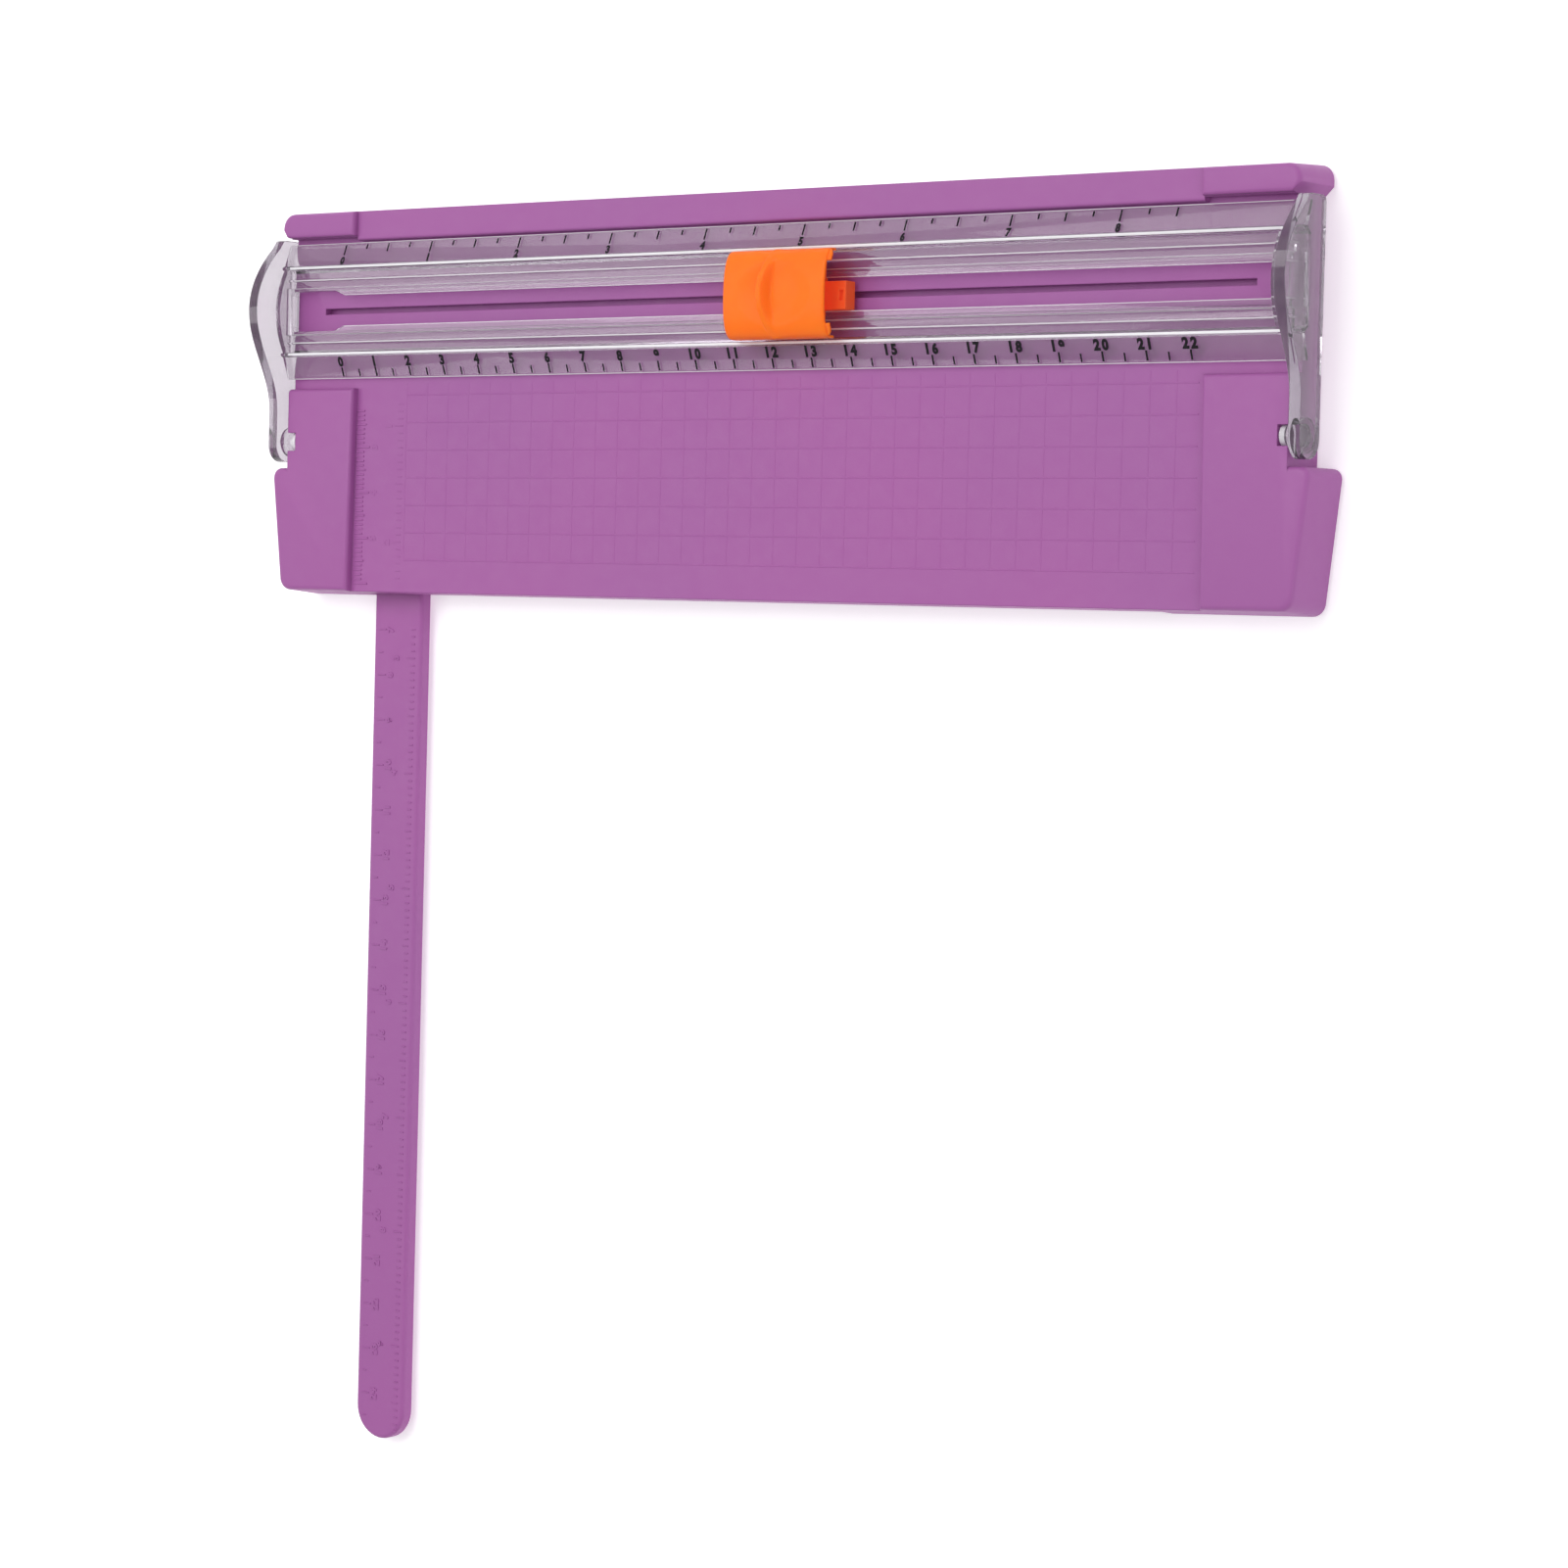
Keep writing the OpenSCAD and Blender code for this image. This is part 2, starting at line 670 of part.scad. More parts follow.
// Pan-head screw up into the boss
module ruler_pivot_screw() {
    slot_w = 0.6;
    color(steel) translate([pivot_x, pivot_y, washer_z - screw_head_t]) difference() {
        union() {
            cylinder(h = screw_head_t, r = screw_head_r);
            cylinder(h = 6.6, r = screw_r);
        }
        for (a = [0, 90]) {
            rotate(a) translate([-1.6, -slot_w / 2, -1]) cube([3.2, slot_w, 1.45]);
        }
    }
}

place() base_shell();
place() rubber_feet();
place() cutter_rail();
place() slider_carriage();
place() slider_cap();
place() press_springs();
place() blade_holder();
place() wheel_axle();
place() wheel_hub();
place() cutter_wheel();
place() ruler_arm();
place() friction_washer();
place() pivot_washer();
place() ruler_pivot_screw();
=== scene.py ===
import math

import bmesh
import bpy
from mathutils import Matrix, Vector


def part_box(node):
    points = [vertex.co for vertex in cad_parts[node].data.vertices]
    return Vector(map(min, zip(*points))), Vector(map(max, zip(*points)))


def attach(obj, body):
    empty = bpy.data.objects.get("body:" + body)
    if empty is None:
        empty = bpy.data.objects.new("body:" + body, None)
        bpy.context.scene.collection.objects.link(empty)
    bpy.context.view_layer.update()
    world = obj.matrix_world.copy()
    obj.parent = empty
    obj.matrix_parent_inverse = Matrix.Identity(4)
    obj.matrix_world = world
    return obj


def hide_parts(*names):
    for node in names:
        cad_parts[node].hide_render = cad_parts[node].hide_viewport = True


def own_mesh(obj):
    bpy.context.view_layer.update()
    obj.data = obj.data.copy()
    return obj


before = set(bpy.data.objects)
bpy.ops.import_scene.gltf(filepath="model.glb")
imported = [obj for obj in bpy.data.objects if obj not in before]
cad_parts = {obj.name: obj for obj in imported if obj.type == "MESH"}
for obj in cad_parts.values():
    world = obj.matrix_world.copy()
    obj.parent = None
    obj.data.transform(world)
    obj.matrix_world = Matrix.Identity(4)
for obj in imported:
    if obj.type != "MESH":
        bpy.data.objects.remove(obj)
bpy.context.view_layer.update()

# Looks of the sliding paper trimmer. Places are in millimetres, measured from the cut line
# and from the top of the deck, and spot() turns them into the frame's metres.
MM = 0.001

# Places in the CAD. The runner's keel hangs KEEL_GAP above the deck.
KEEL_GAP = 0.75
DECK_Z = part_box("slider_carriage")[0].z / MM - KEEL_GAP
CUT_Y = (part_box("cutter_wheel")[0].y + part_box("cutter_wheel")[1].y) / 2 / MM
PIVOT_X = (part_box("pivot_washer")[0].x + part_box("pivot_washer")[1].x) / 2 / MM
PIVOT_Y = (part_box("pivot_washer")[0].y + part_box("pivot_washer")[1].y) / 2 / MM - CUT_Y
CAP_X0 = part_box("slider_cap")[0].x / MM
CAP_X1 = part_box("slider_cap")[1].x / MM
CAP_HALF = (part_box("slider_cap")[1].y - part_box("slider_cap")[0].y) / 2 / MM
CAP_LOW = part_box("slider_cap")[0].z / MM - DECK_Z
# Half the width between the two side blocks
BLOCK_HALF = 109.6

# Wings of the rail: the sloped strips that carry the printed scales
WING_IN = 10.05
WING_OUT = 14.9
WING_TOP = 2.75
WING_EDGE = 0.95

# Ruler, from its CAD box
RULER_LO, RULER_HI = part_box("ruler_arm")
RULER_TOP = RULER_HI.z / MM - DECK_Z
RULER_HALF = (RULER_HI.x - RULER_LO.x) / 2 / MM

# Printed scales: both begin at CM_ZERO_X
INCH = 25.4
CM_ZERO_X = -113
CM_COUNT = 22
INCH_COUNT = 8


def spot(x, y, z=0.0):
    """A point of the frame, in metres, from millimetres beside the cut line and above the deck."""
    return Vector((x, CUT_Y + y, DECK_Z + z)) * MM


# ---------------------------------------------------------------- Materials


class Graph:
    """A material's nodes. A socket given as an input's value becomes a link."""

    def __init__(self, name):
        self.material = bpy.data.materials.new(name)
        self.material.use_nodes = True
        self.tree = self.material.node_tree
        self.tree.nodes.clear()
        self.where = self.tree.nodes.new("ShaderNodeTexCoord").outputs["Object"]

    def add(self, kind, inputs, **settings):
        node = self.tree.nodes.new(kind)
        for name, value in settings.items():
            setattr(node, name, value)
        for name, value in inputs.items():
            if isinstance(value, bpy.types.NodeSocket):
                self.tree.links.new(value, node.inputs[name])
            else:
                node.inputs[name].default_value = value
        return node

    def noise(self, feature_mm, detail=2.0, stretch=(1, 1, 1)):
        """Noise whose features are about feature_mm across, drawn out by stretch."""
        scale = [1 / s for s in stretch]
        place = self.add("ShaderNodeMapping", {"Vector": self.where, "Scale": scale})
        inputs = {"Vector": place.outputs["Vector"], "Scale": 1 / (feature_mm * MM), "Detail": detail}
        return self.add("ShaderNodeTexNoise", inputs).outputs["Fac"]

    def ramp(self, value, stops, blend="LINEAR"):
        """Colour from value, with stops as (position, colour) pairs."""
        node = self.add("ShaderNodeValToRGB", {"Fac": value})
        node.color_ramp.interpolation = blend
        marks = node.color_ramp.elements
        while len(marks) < len(stops):
            marks.new(0.5)
        for mark, (position, color) in zip(marks, stops):
            mark.position = position
            mark.color = (*color, 1)
        return node.outputs["Color"]

    def span(self, value, low, high):
        """Value from 0.3 to 0.7, spread over low to high."""
        inputs = {"Value": value, "From Min": 0.3, "From Max": 0.7, "To Min": low, "To Max": high}
        return self.add("ShaderNodeMapRange", inputs).outputs["Result"]

    def bump(self, height, depth_mm, normal=None, strength=1.0):
        inputs = {"Height": height, "Distance": depth_mm * MM, "Strength": strength}
        if normal is not None:
            inputs["Normal"] = normal
        return self.add("ShaderNodeBump", inputs).outputs["Normal"]

    def rounded(self, radius_mm):
        """Normals that round sharp edges off by radius_mm."""
        return self.add("ShaderNodeBevel", {"Radius": radius_mm * MM}, samples=4).outputs["Normal"]

    def finish(self, surface, volume=None):
        output = self.add("ShaderNodeOutputMaterial", {"Surface": surface})
        if volume is not None:
            self.tree.links.new(volume, output.inputs["Volume"])
        return self.material


def moulded_plastic(name, pale, deep, roughness, edge_mm):
    """Moulded plastic: colour that drifts slightly, a fine eroded grain and soft edges."""
    g = Graph(name)
    drift = g.noise(70, 1.0)
    grain = g.noise(0.35, 3.0)
    color = g.ramp(drift, [(0.35, deep), (0.65, pale)])
    normal = g.bump(grain, 0.012, g.rounded(edge_mm), 0.5)
    inputs = {
        "Base Color": color,
        "Roughness": g.span(g.noise(3, 3.0), roughness - 0.05, roughness + 0.06),
        "IOR": 1.5,
        "Specular IOR Level": 0.35,
        "Normal": normal,
    }
    return g.finish(g.add("ShaderNodeBsdfPrincipled", inputs).outputs["BSDF"])


def tinted_shadow(g, surface, color, share):
    """Lets a share of each shadow ray through, tinted, so that the piece glows onto what is below it."""
    path = g.add("ShaderNodeLightPath", {})
    through = g.add("ShaderNodeMath", {0: path.outputs["Is Shadow Ray"], 1: share}, operation="MULTIPLY")
    clear = g.add("ShaderNodeBsdfTransparent", {"Color": (*color, 1)})
    mix = {"Fac": through.outputs["Value"], 1: surface, 2: clear.outputs["BSDF"]}
    return g.add("ShaderNodeMixShader", mix).outputs["Shader"]


# Painted glow: a faint emission on the orange plastic, standing in for light that entered it elsewhere and
# scattered out
ORANGE_PAINTED_GLOW = 0.09
INNER_SHARE = 0.16


def translucent_plastic(name, pale, deep, glow, share):
    """Bright plastic that light passes through: it scatters inside, tints its own shadow and carries a faint
    painted glow.
    """
    g = Graph(name)
    color = g.ramp(g.noise(9, 2.0), [(0.35, deep), (0.65, pale)])
    normal = g.bump(g.noise(0.3, 3.0), 0.01, g.rounded(0.25), 0.5)
    inputs = {
        "Base Color": color,
        "Roughness": g.span(g.noise(2, 3.0), 0.34, 0.46),
        "IOR": 1.5,
        "Specular IOR Level": 0.2,
        "Normal": normal,
        # Painted glow: a faint emission in the glow colour, lit by no lamp
        "Emission Color": (*glow, 1),
        "Emission Strength": ORANGE_PAINTED_GLOW,
        "Subsurface Weight": 0.35,
        "Subsurface Radius": (1.0, 0.35, 0.12),
        "Subsurface Scale": 1.2 * MM,
    }
    surface = g.add("ShaderNodeBsdfPrincipled", inputs).outputs["BSDF"]
    inside = g.add("ShaderNodeBsdfTranslucent", {"Color": (*glow, 1)}).outputs["BSDF"]
    lit = g.add("ShaderNodeMixShader", {"Fac": INNER_SHARE, 1: surface, 2: inside}).outputs["Shader"]
    return g.finish(tinted_shadow(g, lit, glow, share))


# Painted highlights: how much white is painted along the rail's ribs and edges; each share holds from its
# distance from the cut line on
RIB_PAINTED_HIGHLIGHT = [
    (0.0, 0.0), (3.3, 0.45), (3.5, 0.0), (5.0, 0.4), (5.2, 0.0),
    (6.7, 0.5), (7.05, 0.0), (9.25, 0.9), (9.7, 0.0), (14.7, 0.6),
]
RIB_REACH = 16.0
# Beyond this distance from the middle the clear moulding is the arms
RAIL_SPAN = 128.0


def clear_plastic():
    """Polished clear moulding: faint flow ripples, a little haze, painted white highlights along the ribs
    and edges, grey arms.
    """
    g = Graph("clear_plastic")
    place = g.add("ShaderNodeSeparateXYZ", {0: g.where}).outputs
    along = g.add("ShaderNodeMath", {0: place["X"]}, operation="ABSOLUTE").outputs["Value"]
    across = g.add("ShaderNodeMath", {0: place["Y"], 1: CUT_Y * MM}, operation="SUBTRACT").outputs["Value"]
    across = g.add("ShaderNodeMath", {0: across}, operation="ABSOLUTE").outputs["Value"]
    on_rail = g.add("ShaderNodeMath", {0: along, 1: RAIL_SPAN * MM}, operation="LESS_THAN").outputs["Value"]
    part = {0: across, 1: 1 / (RIB_REACH * MM)}
    share = g.add("ShaderNodeMath", part, operation="MULTIPLY").outputs["Value"]
    # Painted highlights: white laid along the ribs and edges by distance from the cut line
    glow = g.ramp(share, [(mm / RIB_REACH, (white,) * 3) for mm, white in RIB_PAINTED_HIGHLIGHT], "CONSTANT")
    glow = g.add("ShaderNodeMath", {0: glow, 1: on_rail}, operation="MULTIPLY").outputs["Value"]
    cloud = g.span(g.noise(6, 3.0, stretch=(4, 1, 1)), 0.02, 0.05)
    # Real haze and the painted rib highlights share one white diffuse layer
    haze_and_highlight_share = g.add("ShaderNodeMath", {0: cloud, 1: glow}, operation="MAXIMUM").outputs["Value"]
    ripple = g.noise(14, 2.0, stretch=(3, 1, 1))
    inputs = {
        "Base Color": g.ramp(on_rail, [(0.0, (0.80, 0.78, 0.80)), (1.0, (0.97, 0.96, 0.97))]),
        "Roughness": g.span(g.noise(4, 2.0), 0.02, 0.07),
        "IOR": 1.5,
        "Transmission Weight": 1.0,
        "Normal": g.bump(ripple, 0.015, g.rounded(0.08), 0.6),
    }
    glass = g.add("ShaderNodeBsdfPrincipled", inputs).outputs["BSDF"]
    haze = g.add("ShaderNodeBsdfDiffuse", {"Color": (0.96, 0.95, 0.97, 1)}).outputs["BSDF"]
    hazy_and_highlighted = g.add("ShaderNodeMixShader", {"Fac": haze_and_highlight_share, 1: glass, 2: haze}).outputs["Shader"]
    path = g.add("ShaderNodeLightPath", {})
    either = {0: path.outputs["Is Shadow Ray"], 1: path.outputs["Is Diffuse Ray"]}
    soft = g.add("ShaderNodeMath", either, operation="MAXIMUM").outputs["Value"]
    clear = g.add("ShaderNodeBsdfTransparent", {"Color": (0.77, 0.71, 0.77, 1)}).outputs["BSDF"]
    surface = g.add("ShaderNodeMixShader", {"Fac": soft, 1: hazy_and_highlighted, 2: clear}).outputs["Shader"]
    smoke = {"Color": (0.25, 0.15, 0.28, 1), "Density": 120.0}
    volume = g.add("ShaderNodeVolumeAbsorption", smoke).outputs["Volume"]
    return g.finish(surface, volume)


def printing_ink():
    """Black screen print, a little uneven in density and gloss."""
    g = Graph("black_ink")
    patch = g.noise(0.6, 3.0)
    inputs = {
        "Base Color": g.ramp(patch, [(0.3, (0.003, 0.002, 0.004)), (0.75, (0.012, 0.009, 0.013))]),
        "Roughness": g.span(g.noise(0.9, 2.0), 0.5, 0.7),
        "Specular IOR Level": 0.15,
    }
    return g.finish(g.add("ShaderNodeBsdfPrincipled", inputs).outputs["BSDF"])


def brushed_metal(name, color, roughness, lay_mm, stretch):
    """Bare metal with fine lay marks and a few darker patches."""
    g = Graph(name)
    lay = g.noise(lay_mm, 3.0, stretch=stretch)
    dark = tuple(c * 0.75 for c in color)
    inputs = {
        "Base Color": g.ramp(g.noise(2.5, 3.0), [(0.3, dark), (0.6, color)]),
        "Metallic": 1.0,
        "Roughness": g.span(lay, roughness - 0.08, roughness + 0.1),
        "Normal": g.bump(lay, 0.004, g.rounded(0.05), 0.6),
    }
    return g.finish(g.add("ShaderNodeBsdfPrincipled", inputs).outputs["BSDF"])


def rubber():
    """Dark soft rubber with a matt, dusty surface."""
    g = Graph("foot_rubber")
    inputs = {
        "Base Color": g.ramp(g.noise(1.5, 4.0), [(0.3, (0.02, 0.02, 0.022)), (0.7, (0.06, 0.06, 0.063))]),
        "Roughness": g.span(g.noise(0.8, 3.0), 0.7, 0.9),
        "Normal": g.bump(g.noise(0.25, 3.0), 0.03, g.rounded(0.2), 0.6),
    }
    return g.finish(g.add("ShaderNodeBsdfPrincipled", inputs).outputs["BSDF"])


FLOOR_GLOW = 0.42


def pale_floor():
    """Near-white matt floor with a barely visible mottling, lifted to white by a little light of its own."""
    g = Graph("pale_floor")
    inputs = {
        "Base Color": g.ramp(g.noise(120, 3.0), [(0.3, (0.9, 0.9, 0.9)), (0.7, (0.93, 0.93, 0.93))]),
        "Roughness": 0.9,
        "Specular IOR Level": 0.1,
        "Emission Color": (1, 1, 1, 1),
        "Emission Strength": FLOOR_GLOW,
    }
    return g.finish(g.add("ShaderNodeBsdfPrincipled", inputs).outputs["BSDF"])


PALE_PURPLE = (0.368, 0.104, 0.342)
DEEP_PURPLE = (0.348, 0.106, 0.336)
PURPLE = moulded_plastic("purple_abs", PALE_PURPLE, DEEP_PURPLE, 0.46, 0.35)
RAISED_PURPLE = moulded_plastic("purple_abs_raised", PALE_PURPLE, DEEP_PURPLE, 0.5, 0.05)
CLEAR = clear_plastic()
ORANGE = translucent_plastic(
    "orange_plastic", (1.0, 0.215, 0.003), (1.0, 0.195, 0.002), (1.0, 0.22, 0.10), 0.4
)
# The runner's orange is darker than the cap's, matched to how the runner looks in the cap's shade: painted
# shade
SHADED_RUNNER_ORANGE = translucent_plastic(
    "deep_orange_plastic", (0.95, 0.15, 0.030), (0.88, 0.13, 0.026), (1.0, 0.15, 0.08), 0.45
)
INK = printing_ink()
STEEL = brushed_metal("bright_steel", (0.72, 0.73, 0.75), 0.22, 0.2, (1, 1, 1))
WIRE = brushed_metal("spring_steel", (0.6, 0.6, 0.62), 0.3, 0.15, (1, 1, 4))
NYLON = moulded_plastic("white_nylon", (0.86, 0.85, 0.81), (0.82, 0.81, 0.76), 0.5, 0.15)
RUBBER = rubber()


def paint(obj, material):
    obj.data.materials.clear()
    obj.data.materials.append(material)


# ---------------------------------------------------------------- Mesh helpers


def new_piece(name, bm, material, body):
    """Turns a finished bmesh into a piece that rides on a CAD body."""
    bmesh.ops.recalc_face_normals(bm, faces=bm.faces)
    mesh = bpy.data.meshes.new(name)
    bm.to_mesh(mesh)
    bm.free()
    obj = bpy.data.objects.new(name, mesh)
    bpy.context.scene.collection.objects.link(obj)
    paint(obj, material)
    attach(obj, body)
    return obj


def refined(node, name, material, body, width_mm, share, segments=3, clamp=True, smooth=34):
    """A copy of a CAD node's mesh with rounded edges: share(edge) is each edge's part of width_mm.

    Edges that turn by less than smooth degrees stay as they are.
    """
    bm = bmesh.new()
    bm.from_mesh(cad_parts[node].data)
    bmesh.ops.remove_doubles(bm, verts=bm.verts, dist=0.002 * MM)
    bmesh.ops.dissolve_limit(bm, angle_limit=math.radians(0.5), verts=bm.verts, edges=bm.edges)
    weight = bm.edges.layers.float.new("bevel_weight_edge")
    for edge in bm.edges:
        if len(edge.link_faces) == 2 and edge.calc_face_angle() > math.radians(smooth):
            edge[weight] = share(edge)
    for face in bm.faces:
        face.smooth = True
    obj = new_piece(name, bm, material, body)
    obj.data.set_sharp_from_angle(angle=math.radians(smooth))
    bevel = obj.modifiers.new("edges", "BEVEL")
    bevel.limit_method = "WEIGHT"
    bevel.width = width_mm * MM
    bevel.segments = segments
    bevel.use_clamp_overlap = clamp
    bevel.harden_normals = True
    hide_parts(node)
    return obj


def midpoint(edge):
    """Middle of an edge in millimetres, from the cut line and the deck."""
    p = (edge.verts[0].co + edge.verts[1].co) / 2 / MM
    return p.x, p.y - CUT_Y, p.z - DECK_Z


def add_bar(bm, start, end, across, up, width, height, sink, taper=0.6):
    """A closed bar of trapezoid section from start to end, its lower part sunk into the surface."""
    corners = []
    for place in (start, end):
        for side, lift, w in ((-1, -sink, 1), (1, -sink, 1), (1, height, taper), (-1, height, taper)):
            corners.append(bm.verts.new(place + across * side * width / 2 * w * MM + up * lift * MM))
    a, b = corners[:4], corners[4:]
    bm.faces.new(a)
    bm.faces.new(b[::-1])
    for i in range(4):
        bm.faces.new((a[i], b[i], b[(i + 1) % 4], a[(i + 1) % 4]))


def digit_shapes():
    """The ten digits as closed solids: one unit high, centred, and from -1 to 1 deep."""
    shapes = {}
    for digit in "0123456789":
        curve = bpy.data.curves.new("digit", "FONT")
        curve.body = digit
        curve.extrude = 1.0
        curve.resolution_u = 3
        curve.offset = 0.06
        holder = bpy.data.objects.new("digit", curve)
        bpy.context.scene.collection.objects.link(holder)
        graph = bpy.context.evaluated_depsgraph_get()
        mesh = bpy.data.meshes.new_from_object(holder.evaluated_get(graph))
        xs = [v.co.x for v in mesh.vertices]
        ys = [v.co.y for v in mesh.vertices]
        tall = max(ys) - min(ys)
        middle = (max(xs) + min(xs)) / 2
        points = [((v.co.x - middle) / tall, (v.co.y - min(ys)) / tall, v.co.z) for v in mesh.vertices]
        shapes[digit] = (points, [tuple(p.vertices) for p in mesh.polygons])
        bpy.data.objects.remove(holder)
        bpy.data.curves.remove(curve)
        bpy.data.meshes.remove(mesh)
    return shapes


DIGITS = digit_shapes()


def add_number(bm, value, foot, right, up, height, relief, sink, squeeze=0.95, pitch=0.8):
    """Writes a whole number, its foot's middle at foot, reading along right."""
    text = str(value)
    out = right.cross(up).normalized()
    for i, digit in enumerate(text):
        points, faces = DIGITS[digit]
        shift = (i - (len(text) - 1) / 2) * pitch * height
        verts = []
        for x, y, z in points:
            along = right * (x * squeeze * height + shift) + up * y * height
            lift = out * (relief if z > 0 else -sink)
            verts.append(bm.verts.new(foot + (along + lift) * MM))
        for face in faces:
            bm.faces.new([verts[k] for k in face])


# ---------------------------------------------------------------- Base

RIGHT = Vector((1, 0, 0))
BACK = Vector((0, 1, 0))
UP = Vector((0, 0, 1))


GROOVE_END = 121
GROOVE_SIDE = 1
DECK_T = 2.4


def base_edge(edge):
    """Fine rounding of the edges of the deck and above it, finer still along the groove."""
    x, y, z = midpoint(edge)
    if abs(x) < GROOVE_END and abs(y) < GROOVE_SIDE:
        return 0.4
    return 1.0 if z > -DECK_T else 0.0


def build_base():
    refined("base_shell", "base_moulding", PURPLE, "base", 0.3, base_edge)


# Raised lines: how high they stand, and how far they reach into the surface
RELIEF = 0.06
TOOTH = 0.16
FINE_TICK = 0.13
SUNK = 0.05
FIGURE_H = 1.9

GRID_PITCH = 6.0
GRID_FIRST_Y = -18.66
GRID_ROWS = 7
GRID_LEFT = -95.0
GRID_RIGHT = 108.0
GRID_LINE = 0.5
GRID_TAPER = 0.35
GRID_TAIL = 2.4


def build_grid():
    """Raised squares on the deck. The columns stand a little lower, so that no two tops share a plane."""
    bm = bmesh.new()
    first_y = GRID_FIRST_Y + GRID_TAIL
    last_y = GRID_FIRST_Y - (GRID_ROWS - 1) * GRID_PITCH
    for row in range(GRID_ROWS):
        y = GRID_FIRST_Y - row * GRID_PITCH
        add_bar(bm, spot(GRID_LEFT, y), spot(GRID_RIGHT, y), BACK, UP, GRID_LINE, RELIEF, SUNK, GRID_TAPER)
    columns = int((GRID_RIGHT - GRID_LEFT) / GRID_PITCH) + 1
    low = RELIEF * 0.85
    for column in range(columns):
        x = GRID_LEFT + column * GRID_PITCH
        add_bar(bm, spot(x, first_y), spot(x, last_y), RIGHT, UP, GRID_LINE, low, SUNK, GRID_TAPER)
    new_piece("deck_grid", bm, RAISED_PURPLE, "base")


def tick_length(index, whole, lengths):
    """The longest of three lengths at each whole, the middle one at each half, else the shortest."""
    if index % whole == 0:
        return lengths[0]
    return lengths[1] if index % (whole // 2) == 0 else lengths[2]


def build_deck_scales():
    """Depth scales beside the left block: millimetres and sixteenths of an inch from the cut line."""
    bm = bmesh.new()
    for mm in range(22, 61):
        length = tick_length(mm, 10, (3.9, 2.7, 2.2))
        start, end = spot(-BLOCK_HALF, -mm), spot(-BLOCK_HALF + length, -mm)
        add_bar(bm, start, end, BACK, UP, 0.5, TOOTH, SUNK)
    for cm in (3, 4, 5):
        add_number(bm, cm, spot(-BLOCK_HALF + 6.2, -10 * cm), BACK, -RIGHT, FIGURE_H, RELIEF, SUNK)
    for sixteenth in range(13, 38):
        y = -sixteenth * INCH / 16
        length = tick_length(sixteenth, 16, (2.4, 1.8, 1.3))
        start, end = spot(GRID_LEFT - 1.0 - length, y), spot(GRID_LEFT - 1.0, y)
        add_bar(bm, start, end, BACK, UP, 0.3, RELIEF, SUNK)
    for inch in (1, 2):
        add_number(bm, inch, spot(GRID_LEFT - 4.2, -inch * INCH), BACK, -RIGHT, FIGURE_H, RELIEF, SUNK)
    new_piece("deck_depth_scales", bm, RAISED_PURPLE, "base")


# ---------------------------------------------------------------- Swing-out ruler


# The scales keep this far from the ruler's edges
RULER_MARGIN = 1.7
RULER_TICK = 0.36


def ruler_edge(edge):
    """Full rounding along the top, less underneath, and next to none round the pivot."""
    x, y, z = midpoint(edge)
    if math.hypot(x - PIVOT_X, y - PIVOT_Y) < RULER_HALF - 1:
        return 0.1
    return 1.0 if z > RULER_TOP - 0.5 else 0.3


def add_ruler_tick(bm, x, end_x, y):
    add_bar(bm, spot(x, y, RULER_TOP), spot(end_x, y, RULER_TOP), BACK, UP, RULER_TICK, FINE_TICK, SUNK)


def build_ruler():
    """The ruler with inches along its right edge and centimetres along its left edge."""
    refined("ruler_arm", "ruler_blade", PURPLE, "ruler", 0.9, ruler_edge, 4, clamp=False)
    bm = bmesh.new()
    right_x = PIVOT_X + RULER_HALF - RULER_MARGIN
    left_x = PIVOT_X - RULER_HALF + RULER_MARGIN
    for sixteenth in range(44, 157):
        length = tick_length(sixteenth, 16, (2.3, 1.7, 1.1))
        add_ruler_tick(bm, right_x - length, right_x, -sixteenth * INCH / 16)
    for inch in range(3, 10):
        foot = spot(right_x - 4.6, -inch * INCH, RULER_TOP)
        add_number(bm, inch, foot, BACK, -RIGHT, FIGURE_H, FINE_TICK, SUNK)
    for half_cm in range(14, 50):
        length = 2.1 if half_cm % 2 == 0 else 1.2
        add_ruler_tick(bm, left_x, left_x + length, -half_cm * 5)
    for cm in range(7, 25):
        foot = spot(left_x + 4.4, -cm * 10, RULER_TOP)
        add_number(bm, cm, foot, BACK, -RIGHT, FIGURE_H, FINE_TICK, SUNK, pitch=0.72)
    new_piece("ruler_scales", bm, RAISED_PURPLE, "ruler")


# ---------------------------------------------------------------- Clear rail and its print


ARM_INNER_X = 129.2


def rail_edge(edge):
    """Full rounding on the arms, and hardly any between them."""
    x, _, _ = midpoint(edge)
    return 1.0 if abs(x) > ARM_INNER_X else 0.2


def build_rail():
    refined("cutter_rail", "clear_rail", CLEAR, "rail", 0.7, rail_edge, smooth=44)


WING_RUN = WING_OUT - WING_IN
WING_FALL = WING_TOP - WING_EDGE
WING_LENGTH = math.hypot(WING_RUN, WING_FALL)


def wing(x, reach, side):
    """A point on a wing's top, reach millimetres from the cut line. Side is -1 in front and 1 behind."""
    height = WING_TOP - (reach - WING_IN) * WING_FALL / WING_RUN
    return spot(x, side * reach, height)


def wing_inward(side):
    """Direction up a wing, towards the cut line."""
    return Vector((0, -side * WING_RUN, WING_FALL)) / WING_LENGTH


INK_T = 0.03
INK_SINK = 0.01
# Distance of the ticks' outer ends from the cut line
PRINT_OUT = 14.45


def add_ink_tick(bm, x, side, length, width):
    """A tick across a wing, from its outer side inwards."""
    inward = wing_inward(side)
    out = RIGHT.cross(inward * -side).normalized()
    start, end = wing(x, PRINT_OUT, side), wing(x, PRINT_OUT - length, side)
    add_bar(bm, start, end, RIGHT, out, width, INK_T, INK_SINK, 1)


